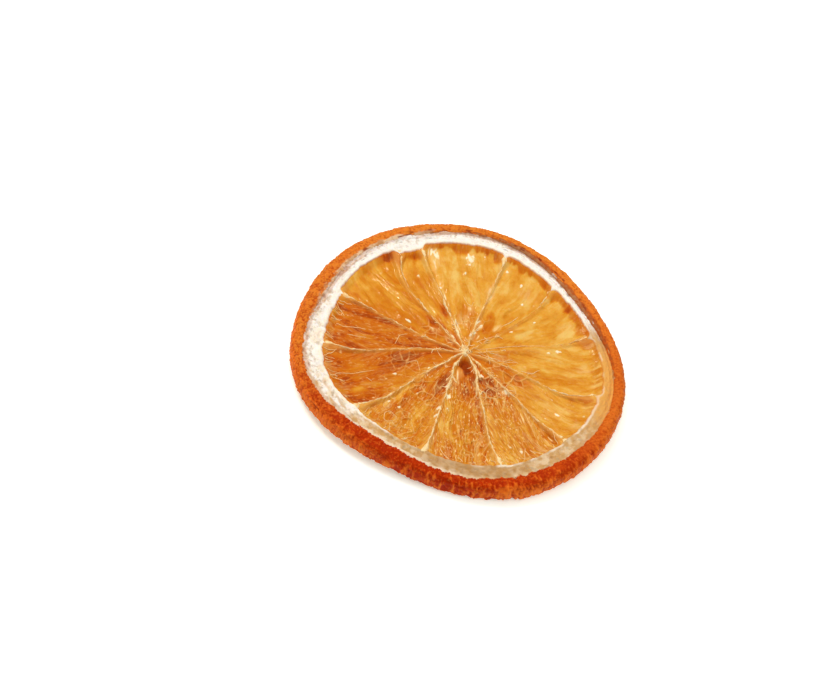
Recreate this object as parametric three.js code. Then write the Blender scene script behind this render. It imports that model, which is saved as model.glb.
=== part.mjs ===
// A dried orange slice, lying on its lower cut face with the other cut face up.
// Millimetres, +Z up. The origin is under the middle of the slice, on the surface it lies on.
// The slice is one closed body: the rind's curled rim, the dried pith inside it, the glassy
// flesh of the segments, sunk between their membranes, and the hub where the membranes meet.
// It is worked out ring by ring from the top of the hub, out over the rim and back in
// along the underside. Angles are in degrees about the hub, counter-clockwise from +X.

import * as THREE from "three";

// Driving dimensions
const RIND_FOOT_RADIUS = 28.05; // hub to where the rind rises from the pith, on the mean
const FLESH_RADIUS = 25.4; // hub to the segments' outer ends, on the mean
const RIM_HEIGHT = 3.4; // the rind's lower edge to its upper edge
const RIND_WIDTH = 2.6; // the rind's foot to the furthest point of its side, on the mean
const FLESH_TOP = 2.15; // height of the flesh between the membranes, upper cut face
const FLESH_UNDER = 1.15; // height of the flesh on the lower cut face
const PITH_CREST = 3.05; // height of the pith's ridge round the segments
const MEMBRANE_TOP = 2.95; // height of the membranes' edge where they leave the pith
const HUB_TOP = 2.75; // height of the knot at the hub
const CORNER_RADIUS = 1.4; // of the segments' outer corners
const CORNER_WIDTH = 0.8; // from a membrane to where a segment has its own reach

// Waves of the slice's outline and of the rind's width: waves in a turn, height, angle of a peak
const OUTLINE_WAVES = [
  [1, 0.73, -153],
  [2, 0.1, 27],
  [3, 0.77, -28],
  [4, 0.29, 21],
  [5, 0.44, 2],
  [6, 0.16, -28],
];
const RIND_WAVES = [
  [2, 0.15, -48],
  [3, 0.19, 43],
  [4, 0.37, -35],
  [5, 0.2, 31],
  [6, 0.16, 1],
];
const FLESH_FOLLOWS = 0.55; // share of the outline's waves that the segments' ends have

// Each membrane: angle at the pith, angle at the hub, sideways bow, share of the full rise,
// and how much further out than the mean the segment after it reaches
const MEMBRANES = [
  [30, 25, -1, 0.5, 0.1],
  [60, 51, -2, 0.5, 0],
  [85, 87.5, -1, 0.75, 0.1],
  [122, 118, 1.5, 0.9, -1],
  [133, 142, 5, 0.8, 0.3],
  [169, 176.5, -1, 0.85, -0.45],
  [198, 193, 4, 0.85, -0.25],
  [232, 229, 3, 1, -0.3],
  [265, 261, 1, 1, -0.5],
  [297, 302, -3, 1, -0.3],
  [328, 331, -2, 0.9, -0.3],
  [357, 362, -7, 0.8, 0.15],
];
const MEMBRANE_EDGE = 0.1; // half the width of a membrane's flat edge
const MEMBRANE_FOOT = 0.6; // from a membrane's middle to where it meets the flesh
const MEMBRANE_SAG = 0.35; // how much lower its edge is halfway along

// The slice has dried a little out of flat: three low places round the rim and a raised middle
const WARP_RISE = 0.42;
const WARP_PEAK = 110;
const DISH_RISE = 0.3;
const FOOT_FLATTENED = 0.12; // height of rim that the three feet are pressed flat by

// Relief of the dried surfaces
const VESICLE_WIDTH = 1.25;
const VESICLE_LENGTH = 3.4;
const VESICLE_RISE = 0.26;
const PITH_LUMP = 2.1;
const PITH_RISE = 0.12;
const RIND_LUMP = 1.6;
const RIND_RISE = 0.13;
const HUB_PIT = { angle: 283, radius: 2.6, size: 1.6, depth: 0.5 };

// Colours, by zone
const RIND_COLOUR = new THREE.Color(0xd8641c);
const PITH_COLOUR = new THREE.Color(0xf3e2c8);
const FLESH_COLOUR = new THREE.Color(0xdd8f35);
const MEMBRANE_COLOUR = new THREE.Color(0xefc987);

// Resolution
const COLUMN_DEGREES = 2.6; // about one column for each of these at the rim
const FLESH_SHARES = [0.035, 0.075, 0.12, 0.18, 0.26, 0.34, 0.42, 0.5, 0.58, 0.66, 0.74, 0.82, 0.89, 0.95];
const UNDER_SHARES = [0.94, 0.84, 0.72, 0.58, 0.43, 0.28, 0.16, 0.08];
const QUARTER_WITHIN = 0.1; // rings this close to the hub have a quarter of the columns
const HALF_WITHIN = 0.22;
const RIM_STEPS = 9;
const RIM_SECTION_FROM = 128; // degrees round the rind's section, from its upper foot
const RIM_SECTION_TO = -128; // to its lower foot
const RIM_SQUARENESS = 0.8; // under 1 makes the section boxier than an ellipse
const RIM_LOWER_LEAN = 0.22; // how much further out the section's lower half is

const radians = THREE.MathUtils.degToRad;
const mix = THREE.MathUtils.lerp;
const smooth = THREE.MathUtils.smoothstep;

// A repeatable number from 0 to 1 for a lattice point
function latticeValue(i, j, seed) {
  const s = Math.sin(i * 127.1 + j * 311.7 + seed * 74.7) * 43758.5453;
  return s - Math.floor(s);
}

// Smooth noise from -1 to 1, with one lump for each unit of x and of y
function lumps(x, y, seed) {
  const i = Math.floor(x);
  const j = Math.floor(y);
  const u = smooth(x - i, 0, 1);
  const v = smooth(y - j, 0, 1);
  const near = mix(latticeValue(i, j, seed), latticeValue(i + 1, j, seed), u);
  const far = mix(latticeValue(i, j + 1, seed), latticeValue(i + 1, j + 1, seed), u);
  return 2 * mix(near, far, v) - 1;
}

function sumWaves(table, angle) {
  return table.reduce(
    (sum, [waves, height, peak]) => sum + height * Math.cos(waves * radians(angle - peak)),
    0,
  );
}

function rindFootRadius(angle) {
  return RIND_FOOT_RADIUS + sumWaves(OUTLINE_WAVES, angle);
}

// The segments' ends: they follow the outline, and round off into each membrane
function fleshRadius(angle, fromMembrane, reach) {
  const corner = Math.max(0, CORNER_RADIUS - fromMembrane);
  const rounding = CORNER_RADIUS - Math.sqrt(CORNER_RADIUS ** 2 - corner ** 2);
  const ownReach = reach * smooth(fromMembrane, 0, CORNER_WIDTH);
  return FLESH_RADIUS + FLESH_FOLLOWS * sumWaves(OUTLINE_WAVES, angle) + ownReach - rounding;
}

// Angle of a membrane at a share of the way from the hub to the pith
function membraneAngle([atPith, atHub, bow], share) {
  const along = Math.min(share, 1);
  return mix(atHub, atPith, along) + bow * Math.sin(Math.PI * along ** 2);
}

// The columns round the slice: each segment has a multiple of four, the first on its membrane
function makeColumns() {
  const columns = [];
  MEMBRANES.forEach((membrane, segment) => {
    const last = segment === MEMBRANES.length - 1;
    const [pithAngle, hubAngle, ...others] = MEMBRANES[last ? 0 : segment + 1];
    const turn = last ? 360 : 0;
    const next = [pithAngle + turn, hubAngle + turn, ...others];
    const count = Math.max(8, 4 * Math.round((next[0] - membrane[0]) / COLUMN_DEGREES / 4 + 0.25));
    for (let step = 0; step < count; step++) columns.push({ membrane, next, segment, step, count });
  });
  return columns;
}

// Where a column is across its segment at a radius: its angle and its distance in millimetres
// from the nearest membrane. Columns crowd to the membranes, but spread evenly at the rim.
function acrossSegment(column, share, radius, evenness) {
  const { membrane, next, step, count } = column;
  const from = membraneAngle(membrane, share);
  const to = membraneAngle(next, share);
  const width = radius * radians(to - from);
  const steps = Math.min(step, count - step);
  const crowded = [0, 0.22, 0.55].map((d, i) => Math.min(d, (i * width) / count));
  const inner = crowded[2];
  const spread = inner + ((steps - 2) / (count / 2 - 2 || 1)) * (width / 2 - inner);
  const distance = steps < 3 ? crowded[steps] : spread;
  const near = step <= count - step ? distance : width - distance;
  const fraction = mix(near / width, step / count, evenness);
  return {
    angle: mix(from, to, fraction),
    distance: Math.min(fraction, 1 - fraction) * width,
    nearest: fraction < 0.5 ? membrane : next,
    fromMiddle: (fraction - 0.5) * width,
  };
}

// How far a point has risen from the flesh to the membrane's edge, from 0 to 1
function membraneShape(distance, share) {
  const fillet = 1 + 1.6 * smooth(share, 0.86, 1);
  return 1 - smooth(distance, MEMBRANE_EDGE * fillet, MEMBRANE_FOOT * fillet);
}

// A ring across the flesh of one cut face. The side is 1 on the upper face and -1 on the lower.
function fleshRing(share, side) {
  const stride = share < QUARTER_WITHIN ? 4 : share < HALF_WITHIN ? 2 : 1;
  const place = (column) => {
    const reach = FLESH_RADIUS * share;
    const across = acrossSegment(column, share, reach, 0);
    const end = acrossSegment(column, 1, FLESH_RADIUS, 0);
    const radius = share * fleshRadius(end.angle, end.distance, column.membrane[4]);
    const rise = membraneShape(across.distance, share) * across.nearest[3];
    const edge = mix(MEMBRANE_TOP, HUB_TOP, 1 - share) - MEMBRANE_SAG * Math.sin(Math.PI * share);
    const vesicles = lumps(
      across.fromMiddle / VESICLE_WIDTH,
      radius / VESICLE_LENGTH,
      column.segment + (side > 0 ? 1 : 31),
    );
    const pit = side > 0 ? hubPit(radius, across.angle) : 0;
    const flesh = FLESH_TOP + VESICLE_RISE * vesicles * smooth(share, 0.1, 0.3) - HUB_PIT.depth * pit;
    const knot = 1 - smooth(share, 0.02, 0.08);
    const lift = mix(flesh, edge, Math.max(rise, knot));
    const middle = (FLESH_TOP + FLESH_UNDER) / 2;
    const z = side > 0 ? lift : 2 * middle - lift;
    return { radius, angle: across.angle, z, colour: fleshColour(rise) };
  };
  return { stride, place };
}

function hubPit(radius, angle) {
  const dx = radius * Math.cos(radians(angle)) - HUB_PIT.radius * Math.cos(radians(HUB_PIT.angle));
  const dy = radius * Math.sin(radians(angle)) - HUB_PIT.radius * Math.sin(radians(HUB_PIT.angle));
  return 1 - smooth(Math.hypot(dx, dy), 0.2 * HUB_PIT.size, HUB_PIT.size);
}

function fleshColour(rise) {
  return FLESH_COLOUR.clone().lerp(MEMBRANE_COLOUR, rise);
}

// A ring across the pith, at a share of the way from the segments' ends to the rind's foot
function pithRing(share, height, side) {
  const place = (column) => {
    const even = acrossSegment(column, 1, FLESH_RADIUS, share);
    const inner = fleshRadius(even.angle, mix(even.distance, CORNER_RADIUS, share), column.membrane[4]);
    const radius = mix(inner, rindFootRadius(even.angle), share);
    const bump = PITH_RISE * lumps((radius * radians(even.angle)) / PITH_LUMP, radius / PITH_LUMP, 17);
    const rise = share > 0 ? 0 : membraneShape(even.distance, 1);
    const lift = mix(height, MEMBRANE_TOP, rise) + (share > 0 ? bump : 0);
    const z = side > 0 ? lift : RIM_HEIGHT - lift;
    return { radius, angle: even.angle, z, colour: PITH_COLOUR };
  };
  return { stride: 1, place };
}

// A ring round the rind, at an angle round the rind's own section
function rindRing(sectionAngle) {
  const half = RIM_HEIGHT / 2;
  const boxy = (value) => Math.sign(value) * Math.abs(value) ** RIM_SQUARENESS;
  const footCosine = boxy(Math.cos(radians(RIM_SECTION_FROM)));
  const upwards = half + half * boxy(Math.sin(radians(sectionAngle)));
  const place = (column) => {
    const { angle } = acrossSegment(column, 1, FLESH_RADIUS, 1);
    const reach = RIND_WIDTH + sumWaves(RIND_WAVES, angle) - RIM_LOWER_LEAN / 2;
    const middle = (reach * footCosine) / (footCosine - 1);
    const outwards = middle + (reach - middle) * boxy(Math.cos(radians(sectionAngle)));
    const foot = rindFootRadius(angle);
    const lump = RIND_RISE * lumps((foot * radians(angle)) / RIND_LUMP, sectionAngle / 40, 23);
    const lean = RIM_LOWER_LEAN * (1 - upwards / RIM_HEIGHT);
    const outer = Math.max(0, Math.cos(radians(sectionAngle)));
    return {
      radius: foot + outwards + lean + lump * outer,
      angle,
      z: upwards + lump * (1 - outer),
      colour: RIND_COLOUR,
    };
  };
  return { stride: 1, place };
}

// Every ring, from the top of the hub out over the rim and back to the hub underneath
function makeRings() {
  const rings = FLESH_SHARES.map((share) => fleshRing(share, 1));
  const pithSection = [
    [0, FLESH_TOP + 0.15],
    [0.14, PITH_CREST],
    [0.5, PITH_CREST - 0.12],
    [0.84, PITH_CREST - 0.5],
  ];
  pithSection.forEach(([share, height]) => rings.push(pithRing(share, height, 1)));
  for (let step = 0; step <= RIM_STEPS; step++)
    rings.push(rindRing(mix(RIM_SECTION_FROM, RIM_SECTION_TO, step / RIM_STEPS)));
  pithSection.reverse().forEach(([share, height]) => rings.push(pithRing(share, height, -1)));
  UNDER_SHARES.forEach((share) => rings.push(fleshRing(share, -1)));
  return rings;
}

// The slice's dried warp, added to the height of every point
function warp(radius, angle) {
  const share = radius / RIND_FOOT_RADIUS;
  const rim = WARP_RISE * Math.cos(3 * radians(angle - WARP_PEAK)) + WARP_RISE;
  return share ** 2 * rim + DISH_RISE * (1 - share ** 2) - FOOT_FLATTENED;
}

function distanceBetween(i, j, positions) {
  return Math.hypot(...[0, 1, 2].map((axis) => positions[3 * i + axis] - positions[3 * j + axis]));
}

// Joins two rings of vertices with triangles. One may have twice the columns of the other.
// Where both have the same, each pair of triangles is split along its shorter diagonal.
function stitch(inner, outer, positions, triangles) {
  const columns = Math.max(inner.length, outer.length);
  const innerAt = (step) => inner[Math.round((step * inner.length) / columns) % inner.length];
  const outerAt = (step) => outer[Math.round((step * outer.length) / columns) % outer.length];
  if (inner.length === outer.length) {
    for (let step = 0; step < columns; step++) {
      const [a, b, c, d] = [innerAt(step), innerAt(step + 1), outerAt(step), outerAt(step + 1)];
      const forward = distanceBetween(a, d, positions) < distanceBetween(b, c, positions);
      if (forward) triangles.push(a, c, d, a, d, b);
      else triangles.push(a, c, b, b, c, d);
    }
    return;
  }
  const innerIsCoarse = inner.length < outer.length;
  for (let step = 0; step < columns; step += 2) {
    const [a, b] = [innerAt(step), innerAt(step + 2)];
    const [c, d] = [outerAt(step), outerAt(step + 2)];
    if (innerIsCoarse) {
      const middle = outerAt(step + 1);
      triangles.push(a, c, middle, a, middle, b, b, middle, d);
    } else {
      const middle = innerAt(step + 1);
      triangles.push(a, c, middle, middle, c, d, middle, d, b);
    }
  }
}

function makeSlice() {
  const columns = makeColumns();
  const positions = [];
  const colours = [];
  const addVertex = (radius, angle, z, colour) => {
    const x = radius * Math.cos(radians(angle));
    const y = radius * Math.sin(radians(angle));
    positions.push(x, y, Math.max(0, z + warp(radius, angle)));
    colours.push(colour.r, colour.g, colour.b);
    return positions.length / 3 - 1;
  };
  const rings = makeRings().map(({ stride, place }) =>
    columns
      .filter((_, index) => index % stride === 0)
      .map(place)
      .map(({ radius, angle, z, colour }) => addVertex(radius, angle, z, colour)),
  );
  const middle = (FLESH_TOP + FLESH_UNDER) / 2;
  const hubTop = addVertex(0, 0, HUB_TOP, MEMBRANE_COLOUR);
  const hubUnder = addVertex(0, 0, 2 * middle - HUB_TOP, MEMBRANE_COLOUR);
  const triangles = [];
  const first = rings[0];
  const final = rings[rings.length - 1];
  first.forEach((vertex, i) => triangles.push(hubTop, vertex, first[(i + 1) % first.length]));
  for (let i = 1; i < rings.length; i++) stitch(rings[i - 1], rings[i], positions, triangles);
  final.forEach((vertex, i) => triangles.push(hubUnder, final[(i + 1) % final.length], vertex));

  const geometry = new THREE.BufferGeometry();
  geometry.setAttribute("position", new THREE.Float32BufferAttribute(positions, 3));
  geometry.setAttribute("color", new THREE.Float32BufferAttribute(colours, 3));
  geometry.setIndex(triangles);
  geometry.computeBoundingBox();
  const centre = geometry.boundingBox.getCenter(new THREE.Vector3());
  geometry.translate(-centre.x, -centre.y, 0);
  geometry.computeVertexNormals();
  return geometry;
}

const slice = new THREE.Mesh(
  makeSlice(),
  new THREE.MeshStandardMaterial({ vertexColors: true, roughness: 0.55, metalness: 0 }),
);
slice.name = "orange_slice";

const group = new THREE.Group();
group.add(slice);

export default group;
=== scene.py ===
"""Looks of a dried orange slice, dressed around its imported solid.

The solid gives the slice's form: the rind's rim, the pith ring, the sunken flesh and the raised
membranes. Here the same form is made again as fine meshes of rind, pith, flesh, membranes, knot and
fibres, so that each has its own surface. Sizes are in millimetres until a mesh is made.
Angles are in degrees about the hub, counter-clockwise from +X.
"""

import math

import bpy
import numpy as np
from mathutils import Matrix, Vector


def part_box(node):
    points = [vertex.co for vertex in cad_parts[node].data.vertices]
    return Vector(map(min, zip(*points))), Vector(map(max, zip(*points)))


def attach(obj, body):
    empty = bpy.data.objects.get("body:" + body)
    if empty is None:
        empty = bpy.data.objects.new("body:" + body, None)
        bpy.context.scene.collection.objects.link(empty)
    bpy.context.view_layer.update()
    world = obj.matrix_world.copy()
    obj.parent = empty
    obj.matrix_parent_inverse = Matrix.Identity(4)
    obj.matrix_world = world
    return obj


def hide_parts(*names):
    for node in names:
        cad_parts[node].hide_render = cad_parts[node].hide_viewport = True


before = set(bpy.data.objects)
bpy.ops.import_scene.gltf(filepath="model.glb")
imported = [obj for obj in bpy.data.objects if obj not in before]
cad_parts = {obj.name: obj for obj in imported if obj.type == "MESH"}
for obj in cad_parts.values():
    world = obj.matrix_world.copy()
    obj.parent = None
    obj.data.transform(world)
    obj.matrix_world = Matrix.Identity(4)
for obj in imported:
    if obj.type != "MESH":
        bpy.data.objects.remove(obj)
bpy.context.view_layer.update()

NODE = "orange_slice"
BODY = "root"
MM = 0.001

# The slice's form, with the same values as its solid
RIND_FOOT_RADIUS = 28.05
FLESH_RADIUS = 25.4
RIM_HEIGHT = 3.4
RIND_WIDTH = 2.6
FLESH_TOP = 2.15
FLESH_UNDER = 1.15
PITH_CREST = 3.05
MEMBRANE_TOP = 2.95
HUB_TOP = 2.75
CORNER_RADIUS = 1.4
CORNER_WIDTH = 0.8
OUTLINE_WAVES = ((1, 0.73, -153), (2, 0.1, 27), (3, 0.77, -28), (4, 0.29, 21), (5, 0.44, 2), (6, 0.16, -28))
RIND_WAVES = ((2, 0.15, -48), (3, 0.19, 43), (4, 0.37, -35), (5, 0.2, 31), (6, 0.16, 1))
FLESH_FOLLOWS = 0.55
# Each membrane: angle at the pith, angle at the hub, sideways bow, share of the full rise,
# how much further out than the mean the segment after it reaches, and degrees by which it
# swings aside where it passes the hollow under the hub
MEMBRANES = (
    (30, 25, -1, 0.5, 0.1, 0),
    (60, 51, -2, 0.5, 0, 0),
    (85, 87.5, -1, 0.75, 0.1, 0),
    (122, 118, 1.5, 0.9, -1, 0),
    (133, 142, 5, 0.8, 0.3, 0),
    (169, 176.5, -1, 0.85, -0.45, 0),
    (198, 193, 4, 0.85, -0.25, 0),
    (232, 229, 3, 1, -0.3, 0),
    (265, 261, 1, 1, -0.5, -9),
    (297, 302, -3, 1, -0.3, 12),
    (328, 331, -2, 0.9, -0.3, 0),
    (357, 362, -7, 0.8, 0.15, 0),
)
MEMBRANE_EDGE = 0.1
MEMBRANE_FOOT = 0.6
MEMBRANE_SAG = 0.35
WARP_RISE = 0.42
WARP_PEAK = 110
DISH_RISE = 0.3
FOOT_FLATTENED = 0.12
VESICLE_WIDTH = 1.25
VESICLE_LENGTH = 3.4
VESICLE_RISE = 0.26
HUB_PIT = {"angle": 283, "radius": 2.6, "size": 1.6, "depth": 0.5}
RIM_SECTION_FROM = 128
RIM_SQUARENESS = 0.8
RIM_LOWER_LEAN = 0.22

# How finely each piece is meshed
RIND_COLUMNS = 1300
RIND_STEPS = 50
PITH_COLUMNS = 1240
FLESH_ROWS = 185
FLESH_SPACING = 0.16
UNDER_SPACING = 0.4
MEMBRANE_STATIONS = 170
MEMBRANE_LOOP = 14
THREAD_SIDES = 6

# The camera, worked out from the photograph: the cut face's circle seen as an ellipse
PHOTO_SIZE = (830, 700)
CAMERA_DISTANCE = 400.0
FOCAL_PIXELS = 2224.0
FACE_TILT = 41.1  # between the cut face's normal and the line of sight
FACE_LEAN = 72.64  # direction in the picture that the normal leans to, from its right side
FACE_PIXEL = (461.83, 350.16)  # the middle of the rind's foot
FACE_MIDDLE = (-0.712, -0.335)  # that point, from the hub
FACE_HEIGHT = 3.4
SENSOR_WIDTH = 36.0

# The stage: its sizes in metres, and the colours of its lights
FLOOR_HALF = 1.5
LIGHT_DISTANCE = 0.9
GLINT_COLOUR = (1.0, 0.88, 0.66)
WORLD_COLOUR = (1.0, 0.98, 0.96, 1.0)
WORLD_STRENGTH = 0.2


def smooth(value, low, high):
    """0 below low, 1 above high and a smooth step between."""
    t = np.clip((value - low) / (high - low), 0.0, 1.0)
    return t * t * (3 - 2 * t)


def mix(a, b, share):
    return a + (b - a) * share


def cosine(degrees):
    return np.cos(np.radians(degrees))


def sine(degrees):
    return np.sin(np.radians(degrees))


def flat(radius, angle):
    """Polar places about the hub as x and y."""
    return radius * cosine(angle), radius * sine(angle)


def lattice_value(i, j, seed):
    """A repeatable number from 0 to 1 for a lattice point."""
    s = np.sin(i * 127.1 + j * 311.7 + seed * 74.7) * 43758.5453
    return s - np.floor(s)


def lumps(x, y, seed, turns=None):
    """Smooth noise from -1 to 1, one lump for each unit of x and y. It closes after turns units of x."""
    i, j = np.floor(x), np.floor(y)
    u, v = smooth(x - i, 0, 1), smooth(y - j, 0, 1)
    this, following = (i, i + 1) if turns is None else (np.mod(i, turns), np.mod(i + 1, turns))
    near = mix(lattice_value(this, j, seed), lattice_value(following, j, seed), u)
    far = mix(lattice_value(this, j + 1, seed), lattice_value(following, j + 1, seed), u)
    return 2 * mix(near, far, v) - 1


def rough(x, y, seed, octaves=3, turns=None):
    """Lumps with finer lumps on them, from about -1 to 1."""
    total, weight, size = 0.0, 0.0, 1.0
    for octave in range(octaves):
        scale = 2**octave
        closing = None if turns is None else turns * scale
        total = total + size * lumps(x * scale, y * scale, seed + 7 * octave, closing)
        weight += size
        size *= 0.5
    return total / weight * 1.4


def still(value):
    """A noise coordinate that stays where it is, for noise along one direction."""
    return np.zeros(np.shape(value))


def round_rim(angle, size):
    """A noise coordinate round the rim in steps of about a size, and the steps after which it closes."""
    steps = round(2 * math.pi * RIND_FOOT_RADIUS / size)
    return angle / 360 * steps, steps


def rim_rough(angle, across, size, size_across, seed, octaves=3):
    """Roughness round the rim, in lumps of one size along it and of another across it."""
    along, steps = round_rim(angle, size)
    return rough(along, across / size_across, seed, octaves, steps)


def cells(x, y, seed, turns=None):
    """Cells about one unit across: distance from the cell's wall, from its middle, and a number per cell."""
    i, j = np.floor(x), np.floor(y)
    nearest = np.full(np.shape(x), 9.0)
    second = np.full(np.shape(x), 9.0)
    number = np.zeros(np.shape(x))
    for di in (-1, 0, 1):
        column = i + di if turns is None else np.mod(i + di, turns)
        for dj in (-1, 0, 1):
            px = i + di + 0.5 + 0.8 * (lattice_value(column, j + dj, seed) - 0.5)
            py = j + dj + 0.5 + 0.8 * (lattice_value(column, j + dj, seed + 1) - 0.5)
            distance = np.hypot(x - px, y - py)
            closer = distance < nearest
            second = np.where(closer, nearest, np.minimum(second, distance))
            number = np.where(closer, lattice_value(column, j + dj, seed + 2), number)
            nearest = np.where(closer, distance, nearest)
    return second - nearest, nearest, number


def window(angle, middle, half_width):
    """1 at an angle about the hub, falling to 0 at a half width to either side of it."""
    away = np.abs((angle - middle + 180) % 360 - 180)
    return 1 - smooth(away, 0.3 * half_width, half_width)


def spot(radius, angle, row, unevenness):
    """A soft patch from a row of (angle, radius, length along the radius, width, strength)."""
    spot_angle, spot_radius, length, width, strength = row
    along = (radius - spot_radius) / (length / 2)
    beside = radius * np.radians((angle - spot_angle + 180) % 360 - 180) / (width / 2)
    return strength * (1 - smooth(np.hypot(along, beside) + unevenness, 0.35, 1.15))


def sum_waves(table, angle):
    return sum(height * np.cos(waves * np.radians(angle - peak)) for waves, height, peak in table)


def rind_foot_radius(angle):
    return RIND_FOOT_RADIUS + sum_waves(OUTLINE_WAVES, angle)


def segments_end(angle):
    """The mean radius of the segments' ends, which follow the outline in part."""
    return FLESH_RADIUS + FLESH_FOLLOWS * sum_waves(OUTLINE_WAVES, angle)


def flesh_radius(angle, from_membrane, reach):
    """The segments' ends: they follow the outline, and round off into each membrane."""
    corner = np.maximum(0, CORNER_RADIUS - from_membrane)
    rounding = CORNER_RADIUS - np.sqrt(CORNER_RADIUS**2 - np.minimum(corner, CORNER_RADIUS) ** 2)
    own_reach = reach * smooth(from_membrane, 0, CORNER_WIDTH)
    return segments_end(angle) + own_reach - rounding


def membrane_angle(membrane, share):
    at_pith, at_hub, bow = membrane[:3]
    swing = membrane[5] * smooth(share, 0.0, 0.06) * (1 - smooth(share, 0.1, 0.32))
    along = np.minimum(share, 1)
    return mix(at_hub, at_pith, along) + bow * np.sin(math.pi * along**2) + swing


def segment_sides(segment):
    """A segment's two membranes, the second turned on by a full circle where that closes it."""
    last = segment == len(MEMBRANES) - 1
    following = MEMBRANES[0 if last else segment + 1]
    turn = 360 if last else 0
    return MEMBRANES[segment], (following[0] + turn, following[1] + turn, *following[2:])


def membrane_shape(distance, share):
    fillet = 1 + 1.6 * smooth(share, 0.86, 1)
    return 1 - smooth(distance, MEMBRANE_EDGE * fillet, MEMBRANE_FOOT * fillet)


def membrane_edge_height(share):
    return mix(MEMBRANE_TOP, HUB_TOP, 1 - share) - MEMBRANE_SAG * np.sin(math.pi * np.minimum(share, 1))


def warp(radius, angle):
    """The slice's dried warp, added to the height of every point."""
    share = radius / RIND_FOOT_RADIUS
    rim = WARP_RISE * np.cos(3 * np.radians(angle - WARP_PEAK)) + WARP_RISE
    return share**2 * rim + DISH_RISE * (1 - share**2) - FOOT_FLATTENED


def hub_pit(radius, angle):
    pit_angle = math.radians(HUB_PIT["angle"])
    dx = radius * cosine(angle) - HUB_PIT["radius"] * math.cos(pit_angle)
    dy = radius * sine(angle) - HUB_PIT["radius"] * math.sin(pit_angle)
    return 1 - smooth(np.hypot(dx, dy), 0.2 * HUB_PIT["size"], HUB_PIT["size"])


def find_hub():
    """Where the hub is in the part's frame: the solid is centred on the box of its outline."""
    angle = np.arange(0, 360, 0.5)
    radius = rind_foot_radius(angle) + RIND_WIDTH + sum_waves(RIND_WAVES, angle)
    x, y = flat(radius, angle)
    low, high = (Vector(corner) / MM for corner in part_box(NODE))
    middle = (low + high) / 2
    return middle.x - (x.min() + x.max()) / 2, middle.y - (y.min() + y.max()) / 2


HUB = find_hub()


def part_points(radius, angle, height):
    """Points in the part's frame, in millimetres, from polar ones about the hub."""
    radius, angle, height = np.broadcast_arrays(radius, angle, height)
    x, y = flat(radius, angle)
    z = np.maximum(height + warp(radius, angle), 0.0)
    return np.stack([HUB[0] + x, HUB[1] + y, z], axis=-1)


def facing_outwards(points, faces_list):
    """The same faces, turned over where they face into the closed shape that they make."""
    volume = 0.0
    for faces in faces_list:
        first = points[faces[:, 0]]
        for corner in range(1, faces.shape[1] - 1):
            second, third = points[faces[:, corner]], points[faces[:, corner + 1]]
            volume += np.sum(first * np.cross(second, third))
    return faces_list if volume > 0 else [faces[:, ::-1] for faces in faces_list]


def add_object(name, data):
    obj = bpy.data.objects.new(name, data)
    bpy.context.scene.collection.objects.link(obj)
    return obj


def build_mesh(name, points, faces_list, attributes):
    """A smooth mesh object from an array of points and arrays of faces, with values for each point."""
    faces_list = facing_outwards(points, faces_list)
    mesh = bpy.data.meshes.new(name)
    mesh.vertices.add(len(points))
    mesh.vertices.foreach_set("co", (points * MM).astype(np.float32).ravel())
    sizes = np.concatenate([np.full(len(faces), faces.shape[1]) for faces in faces_list])
    corners = np.concatenate([faces.ravel() for faces in faces_list])
    mesh.loops.add(len(corners))
    mesh.loops.foreach_set("vertex_index", corners.astype(np.int32))
    mesh.polygons.add(len(sizes))
    starts = np.concatenate([[0], np.cumsum(sizes)[:-1]])
    mesh.polygons.foreach_set("loop_start", starts.astype(np.int32))
    mesh.polygons.foreach_set("loop_total", sizes.astype(np.int32))
    mesh.update(calc_edges=True)
    mesh.polygons.foreach_set("use_smooth", np.ones(len(sizes), dtype=bool))
    for label, values in attributes.items():
        attribute = mesh.attributes.new(label, "FLOAT", "POINT")
        attribute.data.foreach_set("value", np.asarray(values, dtype=np.float32).ravel())
    mesh.validate()
    return add_object(name, mesh)


def loft_faces(rows, columns, closed_rows, start=0):
    """Quads between rings of points, each ring closed, and the number of each point."""
    index = start + np.arange(rows * columns).reshape(rows, columns)
    following = np.roll(index, -1, axis=1)
    corners = [index, following, np.roll(following, -1, axis=0), np.roll(index, -1, axis=0)]
    if not closed_rows:
        corners = [corner[:-1] for corner in corners]
    return np.stack(corners, axis=-1).reshape(-1, 4), index


def cap_faces(ring, middle, flip):
    following = np.roll(ring, -1)
    order = (following, ring) if flip else (ring, following)
    return np.stack([*order, np.full(len(ring), middle)], axis=-1)


def loft(name, rings, attributes, closed_rows=False):
    """A closed mesh through rings of points. Rings in a closed row join up; others get a cap at each end."""
    rows, columns = rings.shape[:2]
    quads, index = loft_faces(rows, columns, closed_rows)
    points = rings.reshape(-1, 3)
    values = {label: np.broadcast_to(value, (rows, columns)) for label, value in attributes.items()}
    if closed_rows:
        return build_mesh(name, points, [quads], values)
    points = np.concatenate([points, [rings[0].mean(axis=0), rings[-1].mean(axis=0)]])
    middle = rows * columns
    caps = np.concatenate([cap_faces(index[0], middle, True), cap_faces(index[-1], middle + 1, False)])
    for label, value in values.items():
        values[label] = np.concatenate([value.ravel(), [value[0].mean(), value[-1].mean()]])
    return build_mesh(name, points, [quads, caps], values)


def finish_piece(obj, material):
    obj.data.materials.append(material)
    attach(obj, BODY)
    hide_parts(NODE)


# Each segment's flesh: how dark and red it has dried, 0 for yellow and 1 for red-brown,
# and how fibrous it is, 0 for smooth and glassy
SEGMENT_LOOKS = (
    (0.12, 0.3), (0.2, 0.2), (0.12, 0.3), (0.3, 0.25), (0.38, 0.2), (0.83, 0.55), (0.8, 0.5),
    (0.58, 0.7), (0.42, 1.0), (0.32, 1.0), (0.33, 0.5), (0.22, 0.4),
)

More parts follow.
